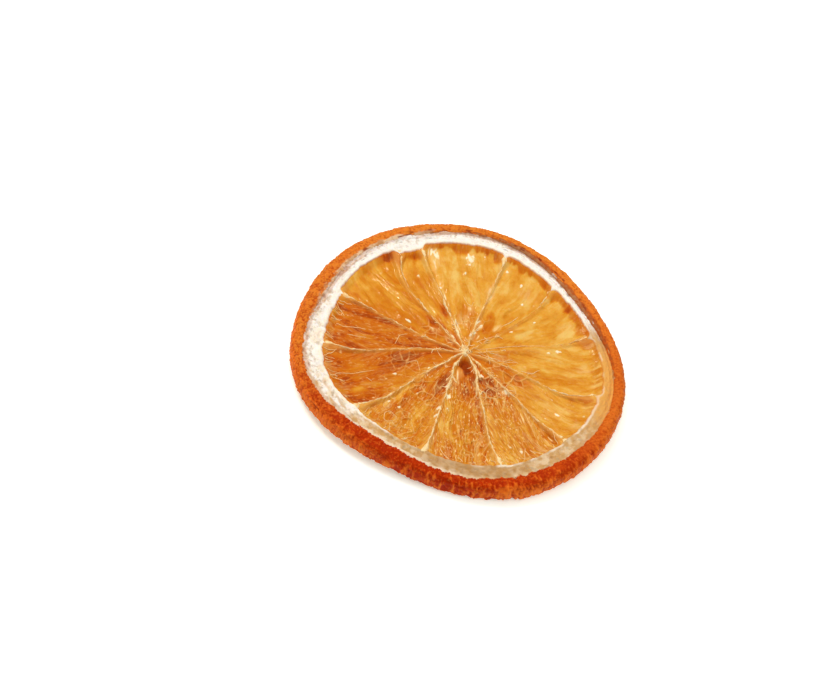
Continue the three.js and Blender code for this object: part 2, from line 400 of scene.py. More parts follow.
# Patches of the flesh: angle, radius, length along the radius, width, and how much darker
DARK_PATCHES = (
    (152, 6, 7, 5, 0.4), (124, 10, 4.5, 1.7, 0.55), (77, 10.9, 3, 1.5, 0.35), (103, 9.8, 4, 3, 0.2),
    (137, 8.6, 4, 2, 0.25), (97, 9, 9, 4.5, 0.3), (70, 8.5, 6, 1.5, 0.15), (52, 9, 6, 5, 0.22),
    (180, 9.5, 4, 2, 0.12), (255, 8.5, 5, 2.4, 0.25), (282, 8, 8, 4, 0.3),
    (283, 2.7, 2.6, 1.9, 0.5), (291, 4.2, 2.6, 2, 0.9), (323, 7.5, 2.4, 1.8, 0.45),
    (304, 5.5, 4, 3, 0.35), (317, 8, 7, 4, 0.35), (346, 11, 5, 2.5, 0.25), (17, 6.5, 4, 2.2, 0.3),
    (138, 25, 3.6, 3.4, 0.3), (235.5, 17, 16, 3.2, -0.32), (316, 8.5, 6, 3.5, 0.16),
    (335, 20, 5, 4, 0.12), (302.6, 22, 3.5, 2.5, 0.15), (192, 17, 6, 5, 0.08),
    (152, 22.5, 4, 5, -0.2), (127.5, 6.5, 3, 1.6, -0.15), (45, 13, 7, 4, -0.15),
    (127, 23.2, 3, 3.8, 0.3), (354, 23, 3, 1.8, 0.45), (326, 21.5, 7, 2, 0.2), (329, 9, 4, 3, 0.3),
    (165, 22.8, 2.6, 1.4, 0.32), (293.5, 14, 9, 1.4, 0.25), (165, 16, 12, 6, 0.2),
    (257, 18, 14, 6, -0.16), (286, 17, 9, 4, -0.08), (239, 13, 20, 2.6, -0.22),
    (145, 9.5, 3, 1.8, 0.45), (309, 6, 2, 1.2, 0.4), (22.8, 8, 3, 2, 0.25), (170, 11, 3, 2, 0.25),
    (187, 23.8, 3, 4, -0.25), (215, 21.5, 6, 9, -0.14), (161, 5.5, 3, 1.6, -0.35),
    (144, 24.2, 3, 5, -0.28), (226, 23, 4, 3, -0.3), (321, 4, 2.4, 1.2, 0.4),
    (241, 12, 4, 1.6, 0.25), (298, 7, 3, 1.5, 0.25), (326, 15.5, 4, 1.5, 0.25),
    (188, 20.5, 4, 2, 0.2), (240.5, 24, 2.4, 2, 0.2), (294, 6, 3, 1.5, 0.3), (114, 18, 4, 4, 0.12),
    (160.4, 4.2, 2.4, 1.4, -0.25), (341, 7.5, 3, 2, -0.2),
)

# Whitish skins left on the flesh, a few of them painted glints: angle, radius, length along the radius,
# width, and how white
PALE_SKINS_AND_PAINTED_GLINTS = (
    (117.9, 22.8, 5.6, 2.6, 1), (99.5, 22.6, 3, 1, 0.7), (85, 16, 8, 1.9, 0.5),
    (84.5, 20, 5, 1.2, 0.3), (118.5, 13.5, 8, 0.9, 0.8), (114, 6, 6, 1.3, 0.8), (104, 8, 5, 3, 0.5),
    (84.5, 7.5, 3.6, 1.8, 0.8), (74, 5.2, 2, 0.8, 0.7), (134, 5.2, 2, 0.7, 0.6),
    (267, 7.6, 7, 2.2, 0.3), (153, 6.9, 2.6, 1.8, 0.5), (146, 4, 2.4, 1.7, 0.4),
    (83, 4.7, 3, 1.6, 1), (96, 11.5, 3.4, 1.7, 0.7), (16, 6.5, 3, 1.2, 0.35),
    (271, 5.5, 4, 1.4, 0.45), (266, 11, 2, 1, 0.9), (326, 10.5, 2.2, 1, 0.8),
    (297.5, 7, 6, 1.1, 0.5), (312, 4.4, 3.6, 1, 0.6), (330, 8, 6, 1.1, 0.3), (303, 12, 4, 1.3, 0.5),
    (343, 20.5, 3.5, 3, 0.15), (12, 22, 4, 2, 0.3), (38, 21.5, 5, 2.4, 0.25), (66, 20, 5, 5, 0.22),
    (62, 9.5, 3, 1.2, 0.45), (266, 22, 4, 1.2, 0.35), (93.6, 24, 2.2, 1.6, 0.4),
    (337.6, 24.2, 2.2, 2, 0.35), (53.5, 12, 3, 2, 0.25),
)

# Small wet beads, raised a little and painted white as glints: angle, radius and size
PAINTED_GLINTS = (
    (100, 22.8, 3.2), (93.4, 24.2, 1.3), (102, 19.4, 1), (81.5, 22.6, 1), (72, 21.1, 1),
    (64, 17.5, 1), (49, 16.3, 1.2), (22.5, 15.7, 1), (23.5, 17.7, 1.3), (162.5, 12, 1.2),
    (119.9, 15.7, 1.1), (114.8, 7.2, 1), (89.6, 4.6, 1), (226.9, 8, 1.1), (249.3, 3.6, 0.9),
    (221.5, 14.6, 1), (237, 19.3, 1), (243.5, 18.7, 1), (263.4, 15.9, 1.1), (263.3, 14.2, 1.2),
    (266.7, 10.8, 1.3), (261.9, 8.9, 1.7), (316.5, 5.6, 1), (327, 10.7, 1), (338, 20.3, 1),
    (309, 22.8, 1), (50, 11, 0.9), (130, 19.1, 1),
)

# Where the skins of the juice cells stand up as a net of threads: angle and half its width,
# radius and half its depth, strength
NETS = (
    (325, 48, 8.5, 6, 1), (246, 22, 17, 11, 0.8), (285, 20, 20, 7, 0.6), (215, 22, 10, 7, 0.5),
    (150, 24, 6, 5, 0.6), (98, 40, 6.5, 5, 0.7), (15, 30, 9, 5, 0.6),
)


def end_shade(angle):
    """How much painted shade darkens the flesh's end against the pith: on the far side only."""
    return smooth(cosine(angle - 82), 0.3, 0.75)


def thread_net(radius, angle, across, seed):
    """The cells' skins that stand up as threads round small hollows: shares of thread and of hollow."""
    x = radius * cosine(angle) + 0.5 * lumps(across / 1.3, radius / 1.3, seed)
    y = radius * sine(angle) + 0.5 * lumps(across / 1.3, radius / 1.3, seed + 1)
    wall, _, number = cells(x / 1.9, y / 1.9, 17)
    zone = sum(
        row[4] * window(angle, row[0], row[1]) * (1 - smooth(np.abs(radius - row[2]), 0.4 * row[3], row[3]))
        for row in NETS
    )
    zone = np.clip(zone, 0, 1) * smooth(number, 0.35, 0.6)
    return zone * (1 - smooth(wall, 0.02, 0.11)), zone * smooth(wall, 0.1, 0.35)


def flesh_surface(segment, share, fraction, side):
    """One cut face of a segment: points and values at shares of the way out and of the way across."""
    first, second = segment_sides(segment)
    start, end = membrane_angle(first, share), membrane_angle(second, share)
    width = FLESH_RADIUS * share * np.radians(end - start)
    inset = np.minimum(0.005 / width, 0.2)
    fraction = inset + fraction * (1 - 2 * inset)
    angle = mix(start, end, fraction)
    distance = np.minimum(fraction, 1 - fraction) * width
    across = (fraction - 0.5) * width
    end_width = FLESH_RADIUS * math.radians(second[0] - first[0])
    end_angle = mix(first[0], second[0], fraction)
    end_distance = np.minimum(fraction, 1 - fraction) * end_width
    radius = share * flesh_radius(end_angle, end_distance, first[4])
    end_across = (fraction - 0.5) * end_width
    seed = segment + (1 if side > 0 else 31)
    base_tone, base_fibres = SEGMENT_LOOKS[segment]
    near_hub = (1 - smooth(radius, 3.0, 11.0)) * (0.7 + 0.4 * lumps(angle / 22, radius / 3.0, seed + 93))
    fibres = np.clip(base_fibres + 0.25 * near_hub, 0, 1)

    # The solid's own relief
    swell = lumps(across / VESICLE_WIDTH, radius / VESICLE_LENGTH, seed)
    pit = hub_pit(radius, angle) if side > 0 else still(angle)
    formed = smooth(share, 0.1, 0.3)
    height = FLESH_TOP + (0.5 + 0.5 * fibres) * VESICLE_RISE * swell * formed - HUB_PIT["depth"] * pit

    # Juice cells, swollen and smooth, that run in to the hub, with fibres where it dried rough
    bent = across + 0.6 * lumps(radius / 4.5, across / 3.0, seed + 50)
    drift = radius + 2.2 * lumps(across / 1.3, radius / 7.0, seed + 51)
    wall, _, number = cells(bent / 1.5, drift / 6.0, seed + 60)
    groove = 1 - smooth(wall, 0.0, 0.5)
    thin_wall, _, thin_number = cells(bent / 0.6, drift / 4.2, seed + 70)
    thin_groove = 1 - smooth(thin_wall, 0.0, 0.45)
    grain = mix(8.0, 2.8, base_fibres)
    streak = rough(bent / 0.5, drift / grain, seed + 72, 2)
    relief = (0.05 + 0.04 * fibres) * (0.5 - groove) + 0.12 * (number - 0.5) * (1 - groove)
    relief = relief + fibres * (0.07 * (0.5 - thin_groove) + 0.05 * streak)
    height = height + formed * relief + 0.015 * rough(across / 0.6, radius / 0.8, seed + 80)
    thread, hollow = thread_net(radius, angle, across, seed + 40)
    thread, hollow = thread * (side > 0), hollow * (side > 0)
    height = height + 0.14 * thread - 0.2 * hollow
    bead_x, bead_y = across / 0.8 + 0.4 * streak, radius / 1.3
    _, bead_distance, bead_number = cells(bead_x, bead_y, seed + 64)
    beaded = (0.25 + 0.75 * window(angle, 285, 100)) * (side > 0) * formed
    # beads, raised a little and painted pale as small glints
    bead_with_painted_glint = beaded * smooth(bead_number, 0.84, 0.94) * (1 - smooth(bead_distance, 0.1, 0.3))
    height = height + 0.08 * bead_with_painted_glint

    # The end, against the pith: a comb of cells' ends with gaps between them, drawn up to the pith
    from_end = (1 - share) * FLESH_RADIUS
    teeth = smooth(rough(end_across / 0.8, 0.1 * radius, seed + 85, 2), -0.1, 0.45)
    uneven_end = smooth(rough(end_across / 1.9, still(end_across), seed + 84, 2), -0.3, 0.7)
    shaded_end = end_shade(angle)
    depth = 0.6 + 1.5 * uneven_end + 1.1 * teeth * (1 - 0.6 * shaded_end) + 0.6 * window(angle, 50, 30)
    near_end = 1 - smooth(from_end, 0.5 * depth, depth)
    height = height - near_end * (0.02 + 0.06 * teeth * (0.3 + 0.7 * shaded_end))
    height = np.maximum(height, mix(1.9, 1.32, pit))
    drawn_up = 1 - smooth(from_end, -0.2, 1.4)
    height = mix(height, 2.75, drawn_up)

    rises = np.where(fraction < 0.5, first[3], second[3])
    rise = membrane_shape(distance, share) * rises
    knot = 1 - smooth(share, 0.02, 0.08)
    height = mix(height, membrane_edge_height(share) - 0.05, np.maximum(rise, knot) * (1 - 0.7 * pit))

    unevenness = 0.35 * rough(across / 1.3, radius / 2.0, seed + 88)
    dark = sum(spot(radius, angle, row, unevenness) for row in DARK_PATCHES)
    white = sum(spot(radius, angle, row, 1.6 * unevenness) for row in PALE_SKINS_AND_PAINTED_GLINTS)
    ragged = 0.75 * rough(across / 0.35, radius / 0.5, seed + 87)
    # painted glints: white spots on some beads and at the listed places, also raised a little
    painted_sparkle = beaded * smooth(bead_number, 0.955, 0.975) * (1 - smooth(bead_distance, 0.06, 0.22))
    painted_glint = 0.9 * painted_sparkle + sum(
        spot(radius, angle, (glint_angle, glint_radius, 0.85 * size, 0.5 * size, 1.0), ragged)
        for glint_angle, glint_radius, size in PAINTED_GLINTS
    )
    white, painted_glint = white * (side > 0), painted_glint * (side > 0)
    frayed = rough(bent / 0.35, drift / 1.6, seed + 89, 2)
    height = height + 0.12 * painted_glint
    if side < 0:
        height = FLESH_TOP + FLESH_UNDER - height

    patches = rough(across / 4.0 + segment * 3.1, radius / 6.0, seed + 90)
    blotches = rough(across / 1.4, radius / 2.6, seed + 91, 2)
    dashes = smooth(rough(bent / 0.3, drift / 1.9, seed + 97, 2), 0.4, 0.8)
    bands = rough(bent / 1.1, drift / 9.0, seed + 98, 2)
    inwards = 1 - smooth(radius, 8, 22)
    tone = base_tone + (0.15 - 0.25 * smooth(base_tone, 0.5, 0.8)) * inwards + 0.17 * patches
    tone = tone + 0.11 * blotches + 0.1 * (number - 0.5) + 0.04 * groove * formed + 0.08 * near_hub + dark
    tone = tone + fibres * (0.08 * streak + 0.1 * (thin_number - 0.5) + 0.22 * dashes) * formed
    # 0.55 * pit is painted shade that darkens the hollow under the hub
    tone = tone + 0.22 * base_tone * bands + 0.55 * pit + 0.12 * hollow
    # painted shade: the segments' ends darker against the pith on the far side
    tone = tone + near_end * shaded_end * (0.42 + 0.15 * teeth)
    light_end = window(angle, 200, 75) * (1 - smooth(from_end, 0.5, 1.9 - teeth))
    comb = window(angle, 352, 60) * (1 - smooth(from_end, 0.4 + 0.8 * uneven_end, 1.2 + 1.2 * uneven_end))
    comb = comb * (0.25 + 0.75 * uneven_end)
    tone = tone - 0.15 * light_end + comb * (0.2 - 0.35 * teeth)
    strong = smooth(rough(across / 3.0, radius / 4.0, seed + 95), -0.2, 0.7)
    pale = (0.1 + 0.3 * fibres) * strong * smooth(streak, 0.1, 0.7) * formed + 0.8 * thread
    pale = pale + 0.3 * fibres * (1 - smooth(thin_wall, 0.0, 0.12)) * strong * formed + 0.8 * bead_with_painted_glint
    pale = pale + 0.35 * light_end * smooth(blotches, -0.2, 0.5) + 0.5 * comb * teeth
    values = {
        "tone": np.clip(tone, 0, 1.5),
        "pale": np.clip(pale * (1 - pit), 0, 1),
        "white": np.clip(white * (0.25 + 0.75 * smooth(frayed, -0.2, 0.5)) + painted_glint + 0.25 * thread, 0, 1),
        "skin": rise,
        "fibrous": fibres * formed,
        "beside": bent + 30.0 * seed,
        "along": drift,
    }
    return part_points(radius, angle, height), values


def segment_grid(rows, columns):
    return np.linspace(0.03, 1.02, rows)[:, None], np.linspace(0, 1, columns)[None, :]


def make_segment(segment, material):
    first, second = segment_sides(segment)
    arc = FLESH_RADIUS * math.radians(second[0] - first[0])
    top_grid = segment_grid(FLESH_ROWS, int(arc / FLESH_SPACING))
    under_grid = segment_grid(FLESH_ROWS, int(arc / UNDER_SPACING))
    top_points, top_values = flesh_surface(segment, *top_grid, 1)
    under_points, under_values = flesh_surface(segment, *under_grid, -1)
    # seen from the hub, each ring runs along the top, then back along the underside
    rings = np.concatenate([top_points, under_points[:, ::-1]], axis=1)
    # a last ring, flat at mid-height, closes the segment inside the pith
    closing = rings[-1:].copy()
    closing[..., 2] = (closing[..., 2].min() + closing[..., 2].max()) / 2
    rings = np.concatenate([rings, closing])
    values = {}
    for label in top_values:
        both = np.concatenate([top_values[label], under_values[label][:, ::-1]], axis=1)
        values[label] = np.concatenate([both, both[-1:]])
    name = f"flesh_{segment + 1:02d}"
    finish_piece(loft(name, rings, values), material)


def nearest_membrane(angle):
    """Millimetres along the segments' ends to the nearest membrane, and the reach of the segment there."""
    starts = np.array([membrane[0] for membrane in MEMBRANES], float)
    offsets = np.abs((np.asarray(angle)[..., None] - starts + 180) % 360 - 180)
    distance = FLESH_RADIUS * np.radians(offsets.min(axis=-1))
    shifted = (np.asarray(angle) - starts[0]) % 360
    segment = np.searchsorted((starts - starts[0]) % 360, shifted, side="right") - 1
    return distance, np.array([membrane[4] for membrane in MEMBRANES])[segment]


def pith_section():
    """The pith's section as (share from segments' end to rind's foot, height) along its top and underside."""
    top = [(-0.04, 1.76), (-0.03, 2.0), (-0.01, 2.35), (0.03, 2.68), (0.08, 2.92), (0.14, PITH_CREST)]
    for share in np.linspace(0.2, 0.84, 17):
        top.append((share, PITH_CREST - 0.12 * smooth(share, 0.15, 0.5) - 0.38 * smooth(share, 0.5, 0.84)))
    top += [(0.88, 2.57), (0.92, 2.66), (0.96, 2.82), (1.0, 2.98), (1.05, 3.08), (1.12, 3.1)]
    under = [(share, RIM_HEIGHT - height) for share, height in top[::-1]]
    return top, under


def make_pith(material):
    angle = np.arange(PITH_COLUMNS)[:, None] * 360 / PITH_COLUMNS
    distance, reach = nearest_membrane(angle)
    top, under = pith_section()
    share = np.array([point[0] for point in top + under])[None, :]
    height = np.array([point[1] for point in top + under])[None, :]
    side = np.array([1.0] * len(top) + [-1.0] * len(under))[None, :]
    inner = flesh_radius(angle, mix(distance, CORNER_RADIUS, np.clip(share, 0, 1)), reach)
    radius = mix(inner, rind_foot_radius(angle), share)
    seed = np.where(side > 0, 200.0, 260.0)
    flakes = rim_rough(angle, radius, 2.6, 0.7, seed)
    crumb = rim_rough(angle, radius, 0.9, 0.5, seed + 10)
    cracks = smooth(rim_rough(angle, radius, 1.1, 0.25, seed + 30, 2), 0.35, 0.75)
    fine = rim_rough(angle, radius, 0.35, 0.35, seed + 20, 2)
    far_side = smooth(cosine(angle - 75), -0.45, 0.3)
    body = smooth(share, 0.02, 0.2) * (1 - smooth(share, 0.95, 1.05))
    shrunk = smooth(cosine(angle - 250), -0.3, 0.5)
    bleached = window(angle, 130, 52)
    filled = np.maximum(1 - far_side, 0.8 * bleached)
    filled = 0.48 * filled * smooth(share, 0.5, 0.84) * (1 - smooth(share, 0.9, 1.05))
    relief = 0.13 * flakes + (0.07 + 0.1 * shrunk) * crumb + 0.05 * fine - 0.04 * cracks
    height = height + side * (body * relief + filled)
    level = still(radius)
    edge = 0.14 * rim_rough(angle, level, 1.1, 1.0, 230) + 0.05 * rim_rough(angle, level, 0.5, 1.0, 231)
    radius = radius + edge * (1 - smooth(share, 0.1, 0.4))
    # whitest about 138 degrees and tan on the opposite side: partly painted light and shade, partly the
    # pith's own colour
    low_left = window(angle, 228, 50)
    white = cosine(angle - 138) + mix(0.12, 0.3, low_left) * flakes - 0.35 * low_left * share
    white = white + 0.3 * window(angle, 238, 18) * (1 - 0.5 * share) + 0.11 * window(angle, 30, 22)
    white = smooth(white, -0.3, 0.0)
    amber = window(angle, 5, 30)
    patches = smooth(rim_rough(angle, radius, 1.6, 0.6, 233), -0.15, 0.35)
    # painted shade: brown-grey in the valley between the pith's crest and the rind, on the far side and at
    # the left
    valley_start = 0.8 - 0.12 * window(angle, 105, 40) + 0.12 * window(angle, 30, 22)
    painted_valley_shade = smooth(share + 0.16 * flakes + 0.1 * crumb, valley_start, valley_start + 0.22) * far_side
    painted_valley_shade = painted_valley_shade * (1 - window(angle, 134, 24) * (1 - 0.7 * patches))
    left_start = 0.72 - 0.14 * window(angle, 160, 30)
    left_valley_painted_shade = smooth(share + 0.08 * crumb, left_start, left_start + 0.14)
    left_valley_painted_shade = left_valley_painted_shade * np.minimum(1, 1.6 * window(angle, 188, 62))
    painted_valley_shade = np.maximum(painted_valley_shade, left_valley_painted_shade * (0.6 + 0.4 * patches))
    # painted highlights along the pith's crests: the outer one at the lower left, the inner one by the flesh
    outer_crest = 0.65 * window(angle, 250, 45) * smooth(share + 0.15 * crumb, 0.7, 0.9)
    inner_crest = (1 - smooth(np.abs(share - 0.14), 0.03, 0.13)) * (1 - 0.95 * window(angle, 268, 32))
    shows = np.maximum(smooth(rim_rough(angle, level, 3.0, 1.0, 232), -0.5, 0.2), window(angle, 228, 26))
    inner_crest = inner_crest * (1 - 0.5 * amber) * shows
    membrane = 1 - smooth(distance, 0.1, 0.7)
    film = (1 - smooth(share, 0.03, 0.12)) * (1 - membrane) * (0.3 + 0.7 * far_side)
    values = {
        "white": white,
        "amber": amber,
        "film": film,
        "painted_valley_shade": painted_valley_shade,
        "painted_crest_highlight": np.clip(inner_crest + outer_crest, 0, 1),
        "crumb": 0.5 + 0.35 * crumb + 0.25 * fine,
        "crack": cracks * body * white * smooth(share, 0.2, 0.6),
        "mottle": window(angle, 268, 130) * (1 - amber),
        "tan": 0.6 * window(angle, 285, 34) * (1 - smooth(share, 0.75, 0.95)),
        "outer": white * smooth(share + 0.1 * crumb, 0.25, 0.8),
    }
    rings = part_points(radius, angle, height)
    finish_piece(loft("pith", rings, values, True), material)


def make_rind(material):
    angle = np.arange(RIND_COLUMNS)[:, None] * 360 / RIND_COLUMNS
    section = np.linspace(RIM_SECTION_FROM + 14, -RIM_SECTION_FROM - 14, RIND_STEPS)[None, :]
    half = RIM_HEIGHT / 2
    reach = RIND_WIDTH + sum_waves(RIND_WAVES, angle) - RIM_LOWER_LEAN / 2

    def boxy(value):
        return np.sign(value) * np.abs(value) ** RIM_SQUARENESS

    foot_cosine = boxy(math.cos(math.radians(RIM_SECTION_FROM)))
    middle = reach * foot_cosine / (foot_cosine - 1)
    normal_out, normal_up = cosine(section), sine(section)
    outwards = middle + (reach - middle) * boxy(normal_out)
    upwards = half + half * boxy(normal_up)
    lean = RIM_LOWER_LEAN * (1 - upwards / RIM_HEIGHT)
    foot = rind_foot_radius(angle)
    over = np.radians(section) * 2.2

    def skin(size, size_across, seed, octaves=3):
        return rim_rough(angle, over, size, size_across, seed, octaves)

    near_side = smooth(cosine(angle - 272), 0.2, 1.0)
    coarse = smooth(cosine(angle - 238), -0.1, 0.5)
    coarse = mix(0.3 + 0.4 * smooth(normal_out, 0.0, 0.8), 1.0, coarse)
    along, steps = round_rim(angle, 0.7)
    skewed_along = along + 0.25 * skin(1.1, 1.1, 330, 1)
    skewed_over = over / 0.7 + 0.25 * skin(1.1, 1.1, 331, 1)
    _, pit_distance, pit_number = cells(skewed_along, skewed_over, 320, steps)
    pits = (1 - smooth(pit_distance, 0.1, 0.4)) * smooth(pit_number, 0.3, 0.9)
    lump = skin(1.5, 1.5, 300)
    grains, grain_steps = round_rim(angle, 0.58)
    grain_across = over / 0.58 + 0.35 * skin(0.9, 0.9, 332, 1)
    grain_wall, _, grain_number = cells(grains, grain_across, 312, grain_steps)
    domes = smooth(grain_wall, 0.0, 0.45) * (0.4 + 1.0 * grain_number)
    pebbles = 0.8 * skin(0.55, 0.55, 310) + 0.8 * (domes - 0.5)
    stripes = skin(0.55, 2.6, 340, 2)
    ribbed = window(angle, 300, 62) * smooth(normal_out, -0.2, 0.4)
    ribs = skin(0.42, 1.7, 341, 2) * ribbed
    scallops = skin(1.0, 4.0, 345, 2) * window(angle, 305, 70)
    inner_face = smooth(-normal_out, 0.05, 0.6) * (normal_up > 0)
    far_side = window(angle, 95, 105)
    edge_pits = smooth(skin(1.5, 0.8, 360), 0.3, 0.65) * window(section, 112, 24) * far_side
    relief = 0.09 * lump + 0.17 * coarse * pebbles - 0.08 * coarse * pits - 0.1 * edge_pits
    relief = relief + 0.08 * stripes * near_side + 0.12 * ribs + 0.12 * scallops
    radius = foot + outwards + lean + relief * normal_out
    height = upwards + relief * normal_up
    # painted shade in the grooves and on the near side's top, painted highlights on the grains' tops and
    # outer face
    painted_crease_shade_and_highlight = 0.38 - 0.7 * coarse * pebbles + 0.15 * coarse * pits - 0.45 * stripes * near_side
    painted_crease_shade_and_highlight = painted_crease_shade_and_highlight - 0.2 * scallops + near_side * (0.55 * smooth(normal_up, 0.1, 0.7) - 0.05) - 0.5 * ribs
    outer_face = smooth(normal_out, 0.3, 0.9)
    painted_crease_shade_and_highlight = painted_crease_shade_and_highlight - 0.12 * outer_face * np.maximum(window(angle, 205, 55), window(angle, 325, 45))
    painted_crease_shade_and_highlight = painted_crease_shade_and_highlight - 0.3 * smooth(normal_up, 0.2, 0.8) * window(angle, 38, 30)
    bleached = window(angle, 152, 50)
    border = mix(0.6, 0.12, bleached) - 0.55 * window(angle, 58, 55)
    broken = 0.4 * skin(1.2, 0.5, 361) + 0.2 * lump
    dried_pith = smooth(-normal_out + broken, border, border + 0.25)
    dried_pith = dried_pith * inner_face * far_side
    # painted shade: the near side of the rim darker and redder, less on its outer face; the right side and a
    # little of the left darker too
    shade = near_side * (1 - 0.45 * outer_face * (1 - window(angle, 270, 36)))
    shade = shade + 0.4 * window(angle, 0, 60) + 0.1 * window(angle, 165, 40)
    # painted light: the rim's outer face lighter at the left and at the lower right
    glow = outer_face * np.maximum(window(angle, 215, 50), 0.6 * window(angle, 325, 40))
    values = {
        "painted_crease_shade_and_highlight": np.clip(painted_crease_shade_and_highlight, -0.2, 1),
        "glow": 0.6 * glow,
        # painted highlights on the ribs
        "painted_rib_highlight": 0.5 * smooth(ribs, 0.2, 0.6),
        "pit": np.clip(0.3 * coarse * pits + edge_pits, 0, 1),
        "shade": np.clip(shade, 0, 1),
        "dried_pith": dried_pith,
        "bleached": bleached,
    }
    rings = part_points(radius, angle, height)
    finish_piece(loft("rind", rings, values, True), material)


# How strongly each membrane shows, at the pith, three quarters out, half way, a quarter out and at the hub
MEMBRANE_SHOWS = (
    (0.8, 0.15, 0.05, 0.2, 0.5),
    (0.8, 0.15, 0.1, 0.55, 0.6),
    (0.9, 0.5, 0.7, 0.7, 0.7),
    (1.0, 0.3, 1.0, 1.0, 1.0),
    (0.9, 0.4, 0.7, 0.9, 0.9),
    (0.9, 0.5, 0.5, 0.7, 0.9),
    (0.9, 0.8, 0.6, 0.6, 0.8),
    (0.9, 0.6, 0.6, 1.0, 1.0),
    (0.9, 0.9, 0.8, 1.6, 1.0),
    (1.0, 0.9, 0.8, 1.4, 1.0),
    (1.0, 0.8, 0.9, 1.0, 0.8),
    (0.9, 0.9, 0.5, 0.4, 0.7),
)


def make_membrane(number, material):
    """A thin upright skin from the hub to the pith, with an uneven edge."""
    membrane = MEMBRANES[number]
    share = np.linspace(0.0, 1.06, MEMBRANE_STATIONS)[:, None]
    turn = np.linspace(0, 2 * math.pi, MEMBRANE_LOOP, endpoint=False)[None, :]
    radius = share * flesh_radius(membrane[0], 0.0, 0.0)
    seed = 400 + 5 * number

    def uneven(size, draw):
        return rough(radius / size, still(share), seed + draw)

    shows = np.interp(share, [0, 0.25, 0.5, 0.75, 0.97], MEMBRANE_SHOWS[number][::-1])
    shows = np.clip(shows + 0.4 * uneven(1.3, 4), 0, 1.6)
    wobble = 0.16 * uneven(2.2, 0) + 0.08 * uneven(0.5, 3)
    wobble = wobble * smooth(share, 0.02, 0.1)
    half_width = 0.05 + 0.11 * shows + 0.1 * uneven(0.6, 1) * shows
    half_width = half_width + 0.6 * smooth(share, 0.94, 1.06)
    edge = mix(FLESH_TOP, membrane_edge_height(share), 0.3 + 0.7 * membrane[3])
    edge = edge + 0.02 + 0.1 * (shows - 0.5) + 0.15 * uneven(0.7, 2)
    edge = edge - 0.3 * (1 - smooth(shows, 0.1, 0.5))
    middle = (FLESH_TOP + FLESH_UNDER) / 2
    sideways = wobble + half_width * np.cos(turn)
    upright = np.sin(turn)
    height = middle + (edge - middle) * np.sign(upright) * np.abs(upright) ** 0.4
    angle = membrane_angle(membrane, share) + np.degrees(sideways / np.maximum(radius, 0.35))
    values = {"shows": np.clip(shows, 0, 1) * smooth(upright, 0.1, 0.7)}
    rings = part_points(np.broadcast_to(radius, height.shape), angle, height)
    finish_piece(loft(f"membrane_{number + 1:02d}", rings, values), material)


def make_knot(material):
    """The rough pale knot where the membranes meet, lopsided beside the hollow under it."""
    share = np.linspace(0.02, 1, 46)[:, None]
    turn = np.arange(150)[None, :] * 360 / 150
    arms = rough(turn / 360 * 11, still(turn), 470, 2, 11)
    reach = 1.05 + 0.3 * cosine(turn - 103) + 0.3 * arms
    side = np.where(share < 0.55, 1.0, -1.0)
    out = np.where(side > 0, share / 0.55, (1 - share) / 0.45)
    radius = 0.02 + reach * out
    x, y = flat(radius, turn)
    dome = 0.5 * (1 - out**2) ** 0.6
    lumpy = rough(x / 0.34, y / 0.34, 480)
    height = HUB_TOP - 0.3 + dome + 0.36 * lumpy * (1 - 0.7 * out**2)
    height = np.where(side > 0, height, FLESH_TOP + FLESH_UNDER - height)
    rings = part_points(radius, turn, height)
    values = {"shows": np.clip(0.7 + 1.0 * lumpy, 0, 1), "speck": smooth(-lumpy, 0.2, 0.45)}
    finish_piece(loft("knot", rings, values), material)


def tube(path, thickness):
    """Points of a tube's rings along a path, each ring square to it."""
    ahead = np.gradient(path, axis=0)
    ahead /= np.linalg.norm(ahead, axis=1, keepdims=True)
    beside = np.cross(ahead, (0.0, 0.0, 1.0))
    beside /= np.linalg.norm(beside, axis=1, keepdims=True)
    above = np.cross(beside, ahead)
    turn = np.linspace(0, 2 * math.pi, THREAD_SIDES, endpoint=False)[None, :, None]
    around_path = np.cos(turn) * beside[:, None, :] + np.sin(turn) * above[:, None, :]
    return path[:, None, :] + thickness[:, None, None] * around_path


# Loose fibres that stand out, each as (angle, radius) places along it
FIBRES = (
    ((104, 13.6), (100, 12), (96, 11.5), (95, 12.7)),
    ((72, 3.5), (59, 6.1), (52, 8.8)),
    ((61, 10.3), (58.5, 12.6), (59, 14.6)),
    ((46, 2.4), (34.5, 5.3), (33.5, 8.4), (31, 12), (28.5, 16)),
    ((32, 1.9), (13, 4.1), (8, 6.8), (10.5, 9.7)),
    ((32, 24.2), (31.5, 22.9), (30.5, 21.6)),
    ((9, 1.5), (1.5, 4.2), (8.5, 7), (13.5, 8.6), (9, 10)),
    ((0, 10.4), (0, 12.6), (6, 14)),
    ((192.5, 13.1), (182.5, 12.5), (178, 11.1)),
    ((185, 24.3), (186, 22.7), (184, 18.6)),
    ((190.5, 22.2), (190.5, 18.3)),
    ((214, 11.7), (212.5, 10.5), (212.5, 9.4), (227, 10)),
    ((195.5, 5.2), (215.5, 4.5)),
    ((220, 4.4), (240, 5.4), (246, 4.3)),
    ((213, 25.3), (215, 22.3), (215, 19.6), (215, 17.9)),
    ((218.5, 20.1), (222, 19.5)),
    ((215, 25.6), (219, 24.1)),
    ((254, 20.4), (258, 22)),
    ((322, 10.9), (335, 9.8), (337, 11.1), (332.5, 12.4), (322, 10.9)),
)

# Skins of single juice cells that stand up as rings: angle, radius and half their width
RINGS = ((313.5, 10, 1.25), (244, 21.9, 1.1), (238.5, 20.3, 0.7), (300.5, 9.6, 0.9))

# Where the random draws for the fine fibres and strands start
THREAD_SEED = 11

